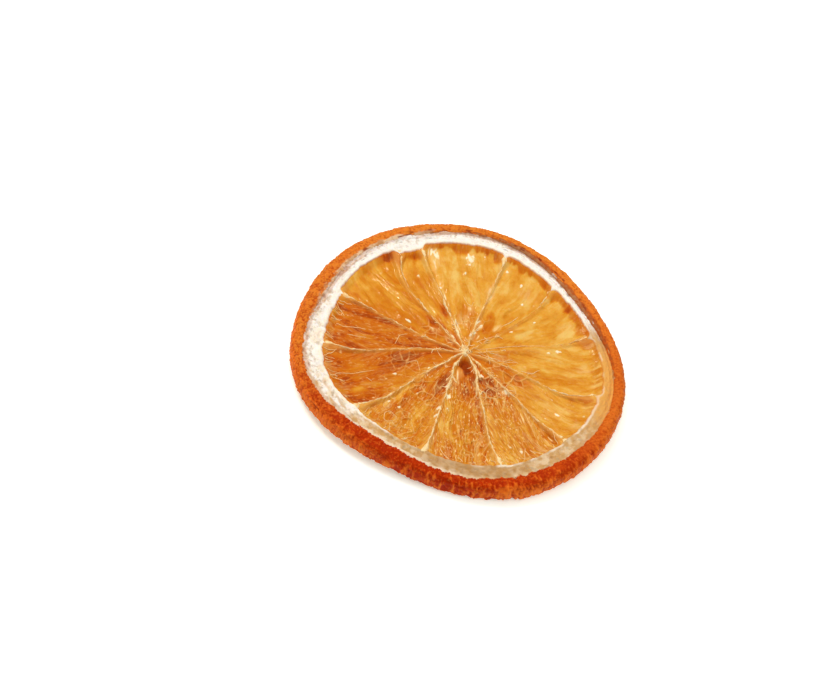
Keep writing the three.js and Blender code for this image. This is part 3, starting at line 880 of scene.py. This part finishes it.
# Fine frayed fibres: the membrane they leave, the radius about which they start and how many
FRAYED = (
    (0, 4.5, 5), (1, 5, 6), (2, 4, 7), (3, 4.5, 6), (4, 5, 4), (5, 6, 3), (6, 6, 4), (7, 7, 7),
    (8, 7, 13), (9, 6, 13), (10, 7, 11), (11, 5, 7),
)

# Short strands that hang from the pith over the flesh: from one angle to another, and how many
FRINGES = ((171, 197, 13), (200, 230, 12), (234, 263, 10), (267, 295, 10), (300, 326, 8))


def lay_on_flesh(x, y, lift):
    """Points just above the flesh at places about the hub."""
    angle, radius = np.degrees(np.arctan2(y, x)) % 360, np.hypot(x, y)
    share = radius / segments_end(angle)
    points = np.zeros((len(angle), 3))
    for segment in range(len(MEMBRANES)):
        first, second = segment_sides(segment)
        start, end = membrane_angle(first, share), membrane_angle(second, share)
        fraction = (angle - start) % 360 / (end - start)
        inside = fraction < 1
        if inside.any():
            points[inside] = flesh_surface(segment, share[inside], fraction[inside], 1)[0]
    points[:, 2] += lift
    return points


def curve_through(x, y, steps):
    """Even steps along a line through places, with its corners rounded."""
    where = np.linspace(0, len(x) - 1, steps)
    window_size = 2 * (steps // (3 * len(x))) + 3
    weights = np.hanning(window_size + 2)[1:-1]
    weights = weights / weights.sum()
    ends = window_size // 2
    return [
        np.convolve(np.pad(np.interp(where, np.arange(len(x)), values), ends, "edge"), weights, "valid")
        for values in (x, y)
    ]


def fibre_courses(random):
    """The courses of all fibres as arrays of x and y, with each one's thickness."""
    for places in FIBRES:
        angles, radii = np.radians([place[0] for place in places]), np.array([place[1] for place in places])
        x, y = curve_through(radii * np.cos(angles), radii * np.sin(angles), 14 * len(places))
        yield x, y, 0.06
    turn = np.linspace(0, 2 * math.pi, 34)
    for angle, radius, size in RINGS:
        uneven = size * (1 + 0.1 * np.cos(3 * turn) + 0.06 * np.sin(5 * turn))
        x = radius * math.cos(math.radians(angle)) + uneven * np.cos(turn)
        yield x, radius * math.sin(math.radians(angle)) + uneven * np.sin(turn), 0.05
    for number, middle_radius, count in FRAYED:
        for _ in range(count):
            radius = middle_radius * random.uniform(0.35, 1.7)
            angle = math.radians(float(membrane_angle(MEMBRANES[number], radius / FLESH_RADIUS)))
            heading = angle + random.choice((-1, 1)) * random.uniform(0.3, 1.2)
            bend = random.normal(0, 0.8)
            steps = np.linspace(0, random.uniform(0.5, 1.7), 14)
            headings = heading + bend * steps + 0.3 * np.sin(steps * random.uniform(3, 7))
            travel = steps[1]
            x = radius * math.cos(angle) + travel * np.cumsum(np.cos(headings))
            y = radius * math.sin(angle) + travel * np.cumsum(np.sin(headings))
            yield x, y, random.uniform(0.05, 0.09)
    for first_angle, last_angle, count in FRINGES:
        for _ in range(count):
            angle = random.uniform(first_angle, last_angle)
            start = segments_end(angle) - 0.1
            steps = np.linspace(0, random.uniform(0.4, 2.6), 14)
            radius = start - steps
            beside = random.normal(0, 0.45) * steps + 0.12 * np.sin(steps * random.uniform(2, 5))
            turned = math.radians(angle) + beside / radius
            yield radius * np.cos(turned), radius * np.sin(turned), random.uniform(0.045, 0.075)


def make_threads(material):
    """Fine loose fibres that lie over the flesh, most of them near the hub, as one piece."""
    random = np.random.default_rng(THREAD_SEED)
    rings, quads, caps, shows, start = [], [], [], [], 0
    for x, y, thickness in fibre_courses(random):
        along = np.linspace(0, 1, len(x))
        lift = 0.01 + random.uniform(0.0, 0.06) * np.sin(math.pi * along)
        path = lay_on_flesh(x, y, lift)
        taper = 0.45 + 0.55 * np.sin(math.pi * along) ** 0.5
        points = tube(path, thickness * taper * random.uniform(0.8, 1.2, len(x)))
        thread_quads, index = loft_faces(len(x), THREAD_SIDES, False, start)
        middles = start + len(x) * THREAD_SIDES
        rings.append(np.concatenate([points.reshape(-1, 3), path[:1], path[-1:]]))
        quads.append(thread_quads)
        caps.append(cap_faces(index[0], middles, True))
        caps.append(cap_faces(index[-1], middles + 1, False))
        shows.append(np.full(len(rings[-1]), random.uniform(0.5, 1.0)))
        start += len(rings[-1])
    faces = [np.concatenate(quads), np.concatenate(caps)]
    obj = build_mesh("threads", np.concatenate(rings), faces, {"shows": np.concatenate(shows)})
    finish_piece(obj, material)


class Graph:
    """A material's node tree, built with short calls. A text given as a value names a mesh attribute."""

    def __init__(self, name):
        self.material = bpy.data.materials.new(name)
        self.material.use_nodes = True
        self.tree = self.material.node_tree
        self.shader = self.tree.nodes["Principled BSDF"]
        self.colour = None

    def node(self, kind, inputs, **settings):
        node = self.tree.nodes.new(kind)
        for key, value in settings.items():
            setattr(node, key, value)
        for key, value in inputs.items():
            self.set(node.inputs[key], value)
        return node

    def set(self, socket, value):
        if isinstance(value, str):
            value = self.node("ShaderNodeAttribute", {}, attribute_name=value).outputs["Fac"]
        if isinstance(value, bpy.types.NodeSocket):
            self.tree.links.new(value, socket)
        else:
            socket.default_value = value

    def noise(self, size_mm, detail=3.0, stretch=None):
        where = self.node("ShaderNodeTexCoord", {}).outputs["Object"]
        if stretch:
            where = self.node("ShaderNodeMapping", {"Vector": where, "Scale": stretch}).outputs["Vector"]
        inputs = {"Vector": where, "Scale": 1 / (size_mm * MM), "Detail": detail}
        return self.node("ShaderNodeTexNoise", inputs).outputs["Fac"]

    def along_cells(self, width_mm, length_mm):
        """Texture coordinates along the juice cells, which run from the hub outwards."""
        places = {"X": self.math("DIVIDE", "beside", width_mm), "Y": self.math("DIVIDE", "along", length_mm)}
        return self.node("ShaderNodeCombineXYZ", places).outputs["Vector"]

    def streaks(self, width_mm, length_mm, detail=2.0):
        inputs = {"Vector": self.along_cells(width_mm, length_mm), "Scale": 1.0, "Detail": detail}
        return self.node("ShaderNodeTexNoise", inputs).outputs["Fac"]

    def juice_cells(self, width_mm, length_mm, feature, output):
        inputs = {"Vector": self.along_cells(width_mm, length_mm), "Scale": 1.0}
        settings = {"feature": feature, "voronoi_dimensions": "2D"}
        return self.node("ShaderNodeTexVoronoi", inputs, **settings).outputs[output]

    def math(self, operation, *values):
        return self.node("ShaderNodeMath", dict(enumerate(values)), operation=operation).outputs[0]

    def times(self, first, second):
        return self.math("MULTIPLY", first, second)

    def remap(self, value, low, high, to_low=0.0, to_high=1.0):
        inputs = {"Value": value, "From Min": low, "From Max": high, "To Min": to_low, "To Max": to_high}
        return self.node("ShaderNodeMapRange", inputs).outputs["Result"]

    def blend(self, share, first, second):
        return self.node("ShaderNodeMix", {0: share, 6: first, 7: second}, data_type="RGBA").outputs[2]

    def paint(self, share, colour):
        """Lays a screen colour, or another node's, over the colour so far."""
        over = srgb(*colour) if isinstance(colour, tuple) else colour
        self.colour = self.blend(share, self.colour, over)

    def ramp(self, value, stops):
        node = self.node("ShaderNodeValToRGB", {"Fac": value})
        elements = node.color_ramp.elements
        while len(elements) < len(stops):
            elements.new(0.5)
        for element, (position, colour) in zip(elements, stops):
            element.position = position
            element.color = srgb(*colour)
        return node.outputs["Color"]

    def bump(self, height, distance_mm, strength=1.0, **under):
        inputs = {"Height": height, "Distance": distance_mm * MM, "Strength": strength, **under}
        return self.node("ShaderNodeBump", inputs).outputs["Normal"]

    def finish(self, **inputs):
        for label, value in {"Base_Color": self.colour, **inputs}.items():
            self.set(self.shader.inputs[label.replace("_", " ")], value)
        return self.material


def srgb(red, green, blue):
    """A linear colour from the 0 to 255 values of a screen colour."""
    channels = [value / 255 for value in (red, green, blue)]
    return (*[c / 12.92 if c <= 0.04045 else ((c + 0.055) / 1.055) ** 2.4 for c in channels], 1.0)


def flesh_material():
    g = Graph("dried_flesh")
    fine = g.streaks(0.36, 2.6, 3)
    contrast = g.remap("fibrous", 0.25, 1.0, 0.03, 0.8)
    tone = g.math("ADD", "tone", g.remap(g.noise(0.9, 4), 0.3, 0.7, -0.07, 0.07))
    tone = g.math("MULTIPLY_ADD", g.math("SUBTRACT", fine, 0.5), contrast, tone)
    dashes = g.times(g.remap(g.streaks(0.3, 1.5), 0.6, 0.68), "fibrous")
    tone = g.math("MULTIPLY_ADD", dashes, 0.3, tone)
    cracks = g.times(g.remap(g.streaks(0.34, 1.1, 1), 0.66, 0.7, 0.0, 0.5), g.remap("fibrous", 0.45, 1.0))
    each_cell = g.juice_cells(1.15, 3.2, "F1", "Color")
    tone = g.math("MULTIPLY_ADD", g.math("SUBTRACT", each_cell, 0.5), 0.22, tone)
    stops = (
        (0.0, (236, 193, 104)),
        (0.25, (228, 161, 56)),
        (0.5, (214, 131, 28)),
        (0.75, (204, 107, 13)),
        (0.93, (191, 87, 8)),
        (1.0, (170, 70, 6)),
    )
    g.colour = g.ramp(tone, stops)
    # darkest red-brown where the tone runs highest: the dark patches, and the painted shade in the hub's
    # hollow
    g.paint(g.remap(tone, 1.15, 1.5, 0.0, 0.85), (126, 40, 2))
    # pale skins and threads, and the beads' painted glints
    g.paint(g.times("pale", 0.6), (246, 204, 128))
    ridges = g.math("ABSOLUTE", g.math("SUBTRACT", g.streaks(0.7, 4.0, 1), 0.5))
    lines = g.times(g.remap(ridges, 0.0, 0.022, 0.55, 0.0), g.remap(g.noise(1.6, 2), 0.45, 0.6))
    g.paint(g.times(lines, "fibrous"), (250, 208, 128))
    outline = g.remap(g.juice_cells(1.15, 3.2, "DISTANCE_TO_EDGE", "Distance"), 0.0, 0.06, 0.5, 0.0)
    outline = g.times(outline, g.remap("fibrous", 0.6, 0.95))
    g.paint(g.times(outline, g.remap(g.noise(2.0, 2), 0.45, 0.6)), (252, 214, 136))
    g.paint(cracks, (146, 74, 20))
    # painted sparks: small cream highlights on the fibrous flesh
    painted_sparks = g.remap(g.streaks(0.28, 0.9), 0.61, 0.67, 0.0, 0.75)
    g.paint(g.times(painted_sparks, g.remap("fibrous", 0.3, 1.0)), (254, 222, 154))
    g.paint(g.times("skin", 0.5), (236, 174, 88))
    # whitish skins, and painted glints
    g.paint(g.remap("white", 0.0, 0.5, 0.0, 0.85), (244, 198, 124))
    g.paint(g.remap("white", 0.4, 0.85, 0.0, 0.95), (255, 242, 208))
    uneven_gloss = g.remap(g.noise(0.5, 2), 0.35, 0.65, 0.18, 0.35)
    normal = g.bump(g.noise(0.35, 3), 0.04, 0.5)
    normal = g.bump(fine, 0.18, g.remap("fibrous", 0.2, 1.0, 0.05, 1.0), Normal=normal)
    normal = g.bump(g.noise(0.5, 3), 0.12, g.remap("fibrous", 0.4, 0.8), Normal=normal)
    return g.finish(
        Roughness=g.math("ADD", uneven_gloss, g.remap(tone, 0.5, 0.9, 0.0, 0.3)),
        Normal=normal,
        Subsurface_Weight=0.15,
        Subsurface_Radius=(1.0, 0.45, 0.12),
        Subsurface_Scale=0.0004,
        Specular_IOR_Level=0.12,
        Coat_Weight=g.remap(tone, 0.5, 0.85, 0.4, 0.03),
        Coat_Roughness=0.1,
        Coat_Normal=normal,
    )


def pith_material():
    g = Graph("dried_pith")
    # tan to white by the white share, which is partly painted light and shade
    mottled = g.math("ADD", "white", g.remap(g.noise(1.2, 4), 0.3, 0.7, -0.15, 0.15))
    g.colour = g.blend(mottled, srgb(205, 158, 98), srgb(250, 243, 234))
    g.paint("amber", (230, 168, 84))
    g.paint(g.times(g.remap(g.noise(1.3, 5), 0.46, 0.62, 0.0, 0.7), "mottle"), (238, 214, 176))
    g.paint(g.times(g.remap(g.noise(1.2, 5), 0.46, 0.36, 0.0, 0.6), "mottle"), (180, 154, 122))
    g.paint(g.remap("crumb", 0.05, 0.4, 0.25, 0.0), (182, 146, 108))
    g.paint(g.times(g.remap(g.noise(0.6, 3), 0.47, 0.38, 0.0, 0.75), "outer"), (202, 182, 156))
    g.paint(g.times("crack", g.remap(g.noise(1.8, 3), 0.5, 0.62, 0.05, 0.8)), (168, 154, 140))
    # painted shade, brown, in the valley next to the rind
    brown = g.blend(g.remap(g.noise(0.8, 4), 0.42, 0.6), srgb(166, 98, 56), srgb(206, 158, 118))
    g.paint(g.times("painted_valley_shade", 0.75), brown)
    g.paint("tan", (180, 132, 78))
    # painted highlights on the pith's crests
    g.paint(g.times("painted_crest_highlight", 0.75), (255, 244, 222))
    g.paint("film", (232, 140, 44))
    return g.finish(
        Roughness=0.75,
        Normal=g.bump(g.noise(0.3, 4), 0.08, 0.7),
        Subsurface_Weight=0.15,
        Subsurface_Radius=(1.0, 0.6, 0.3),
        Subsurface_Scale=0.0004,
        Specular_IOR_Level=0.2,
    )


def rind_material():
    g = Graph("dried_rind")
    # lit orange, darkened and reddened by the painted shade
    g.colour = g.blend("shade", srgb(230, 136, 44), srgb(194, 50, 0))
    g.paint(g.remap(g.noise(0.9, 4), 0.4, 0.65, 0.0, 0.35), (204, 76, 6))
    # painted light on the rim's outer face
    g.paint("glow", (250, 108, 24))
    # painted shade in the creases, then painted highlights on the bumps
    g.paint(g.remap("painted_crease_shade_and_highlight", 0.45, 1.0, 0.0, 0.8), (166, 38, 0))
    g.paint(g.remap("painted_crease_shade_and_highlight", 0.3, -0.1, 0.0, 0.6), (238, 128, 38))
    grain = g.noise(0.42, 2, (1.0, 1.0, 0.35))
    g.paint(g.remap(grain, 0.48, 0.38, 0.0, 0.45), (170, 44, 2))
    g.paint(g.remap(grain, 0.56, 0.66, 0.0, 0.38), (238, 120, 38))
    # painted highlights on the ribs
    g.paint("painted_rib_highlight", (246, 124, 36))
    faded = g.math("ADD", "dried_pith", g.remap(g.noise(0.8, 4), 0.36, 0.64, -0.4, 0.1))
    faded_colour = g.ramp(faded, ((0.0, (206, 96, 32)), (0.4, (176, 88, 36)), (1.0, (188, 128, 84))))
    cream = g.blend(g.remap(g.noise(1.1, 4), 0.42, 0.6), srgb(206, 152, 100), srgb(243, 211, 168))
    g.paint(g.remap("dried_pith", 0.0, 0.3), g.blend(g.times("bleached", 0.85), faded_colour, cream))
    g.paint(g.times("pit", 0.85), (132, 34, 12))
    return g.finish(
        Roughness=0.5,
        Specular_IOR_Level=0.08,
        Normal=g.bump(g.noise(0.22, 3), 0.06, 0.7),
        Subsurface_Weight=0.05,
        Subsurface_Radius=(1.0, 0.3, 0.1),
        Subsurface_Scale=0.0003,
    )


def membrane_material():
    g = Graph("dried_membrane")
    shows = g.times("shows", g.remap(g.noise(0.6, 3), 0.35, 0.6, 0.35, 1.0))
    g.colour = g.blend(shows, srgb(242, 172, 78), srgb(255, 234, 180))
    g.paint(g.times("speck", 0.7), (120, 76, 40))
    return g.finish(Roughness=0.45, Normal=g.bump(g.noise(0.25, 3), 0.04, 0.6))


def floor_material():
    g = Graph("plain_floor")
    glow = {"Emission_Color": srgb(225, 255, 237), "Emission_Strength": 0.4}
    return g.finish(Base_Color=srgb(254, 253, 252), Roughness=0.6, **glow)


def make_floor():
    half = FLOOR_HALF
    corners = [(-half, -half, 0), (half, -half, 0), (half, half, 0), (-half, half, 0)]
    mesh = bpy.data.meshes.new("floor")
    mesh.from_pydata(corners, [], [(0, 1, 2, 3)])
    mesh.materials.append(floor_material())
    add_object("floor", mesh)


def make_camera():
    """Places the camera as the photograph was taken, tilted and rolled about the slice's face."""
    tilt, lean = math.radians(FACE_TILT), math.radians(FACE_LEAN)
    normal = Vector((math.sin(tilt) * math.cos(lean), math.sin(tilt) * math.sin(lean), math.cos(tilt)))
    far = Vector((math.cos(tilt) * math.cos(lean), math.cos(tilt) * math.sin(lean), -math.sin(tilt)))
    across = (FACE_PIXEL[0] - PHOTO_SIZE[0] / 2) / FOCAL_PIXELS
    up = (PHOTO_SIZE[1] / 2 - FACE_PIXEL[1]) / FOCAL_PIXELS
    face_from_camera = Vector((across, up, -1)) * CAMERA_DISTANCE
    to_part = Matrix((far.cross(normal), far, normal))
    face = Vector((HUB[0] + FACE_MIDDLE[0], HUB[1] + FACE_MIDDLE[1], FACE_HEIGHT))
    location = (face - to_part @ face_from_camera) * MM
    camera = bpy.data.cameras.new("camera")
    camera.sensor_width = SENSOR_WIDTH
    camera.lens = FOCAL_PIXELS / PHOTO_SIZE[0] * SENSOR_WIDTH
    camera.clip_start = 0.01
    obj = add_object("camera", camera)
    obj.matrix_world = Matrix.Translation(location) @ to_part.to_4x4()
    bpy.context.scene.camera = obj


def add_area_light(name, azimuth, elevation, size, power, colour=None):
    """A square light that faces the slice. Azimuth 0 is on the camera's side, along -Y.

    The soft white lights aren't mirrored in the glossy flesh: only lights with a colour of their own are.
    """
    turn, rise = math.radians(azimuth), math.radians(elevation)
    direction = Vector((math.sin(turn) * math.cos(rise), -math.cos(turn) * math.cos(rise), math.sin(rise)))
    light = bpy.data.lights.new(name, "AREA")
    light.size = size
    light.energy = power
    light.color = colour or (1, 1, 1)
    obj = add_object(name, light)
    obj.location = direction * LIGHT_DISTANCE
    obj.rotation_euler = direction.to_track_quat("Z", "Y").to_euler()
    obj.visible_glossy = colour is not None


def make_lights():
    add_area_light("overhead", 180, 86, 0.9, 3.4)
    add_area_light("key", 236, 50, 0.35, 3.3)
    add_area_light("right", 80, 35, 0.4, 1.6)
    add_area_light("front", 0, 35, 0.5, 0.8)
    add_area_light("glints", 200, 62, 0.06, 0.7, GLINT_COLOUR)
    add_area_light("left_glints", 244, 48, 0.12, 0.7, GLINT_COLOUR)
    world = bpy.data.worlds.new("studio")
    world.use_nodes = True
    background = world.node_tree.nodes["Background"]
    background.inputs["Color"].default_value = WORLD_COLOUR
    background.inputs["Strength"].default_value = WORLD_STRENGTH
    bpy.context.scene.world = world
    world.cycles_visibility.glossy = False
    bpy.context.scene.view_settings.view_transform = "Standard"


make_camera()
make_lights()
make_floor()
flesh = flesh_material()
for segment_number in range(len(MEMBRANES)):
    make_segment(segment_number, flesh)
make_pith(pith_material())
make_rind(rind_material())
membrane_skin = membrane_material()
for membrane_number in range(len(MEMBRANES)):
    make_membrane(membrane_number, membrane_skin)
make_knot(membrane_skin)
make_threads(membrane_skin)
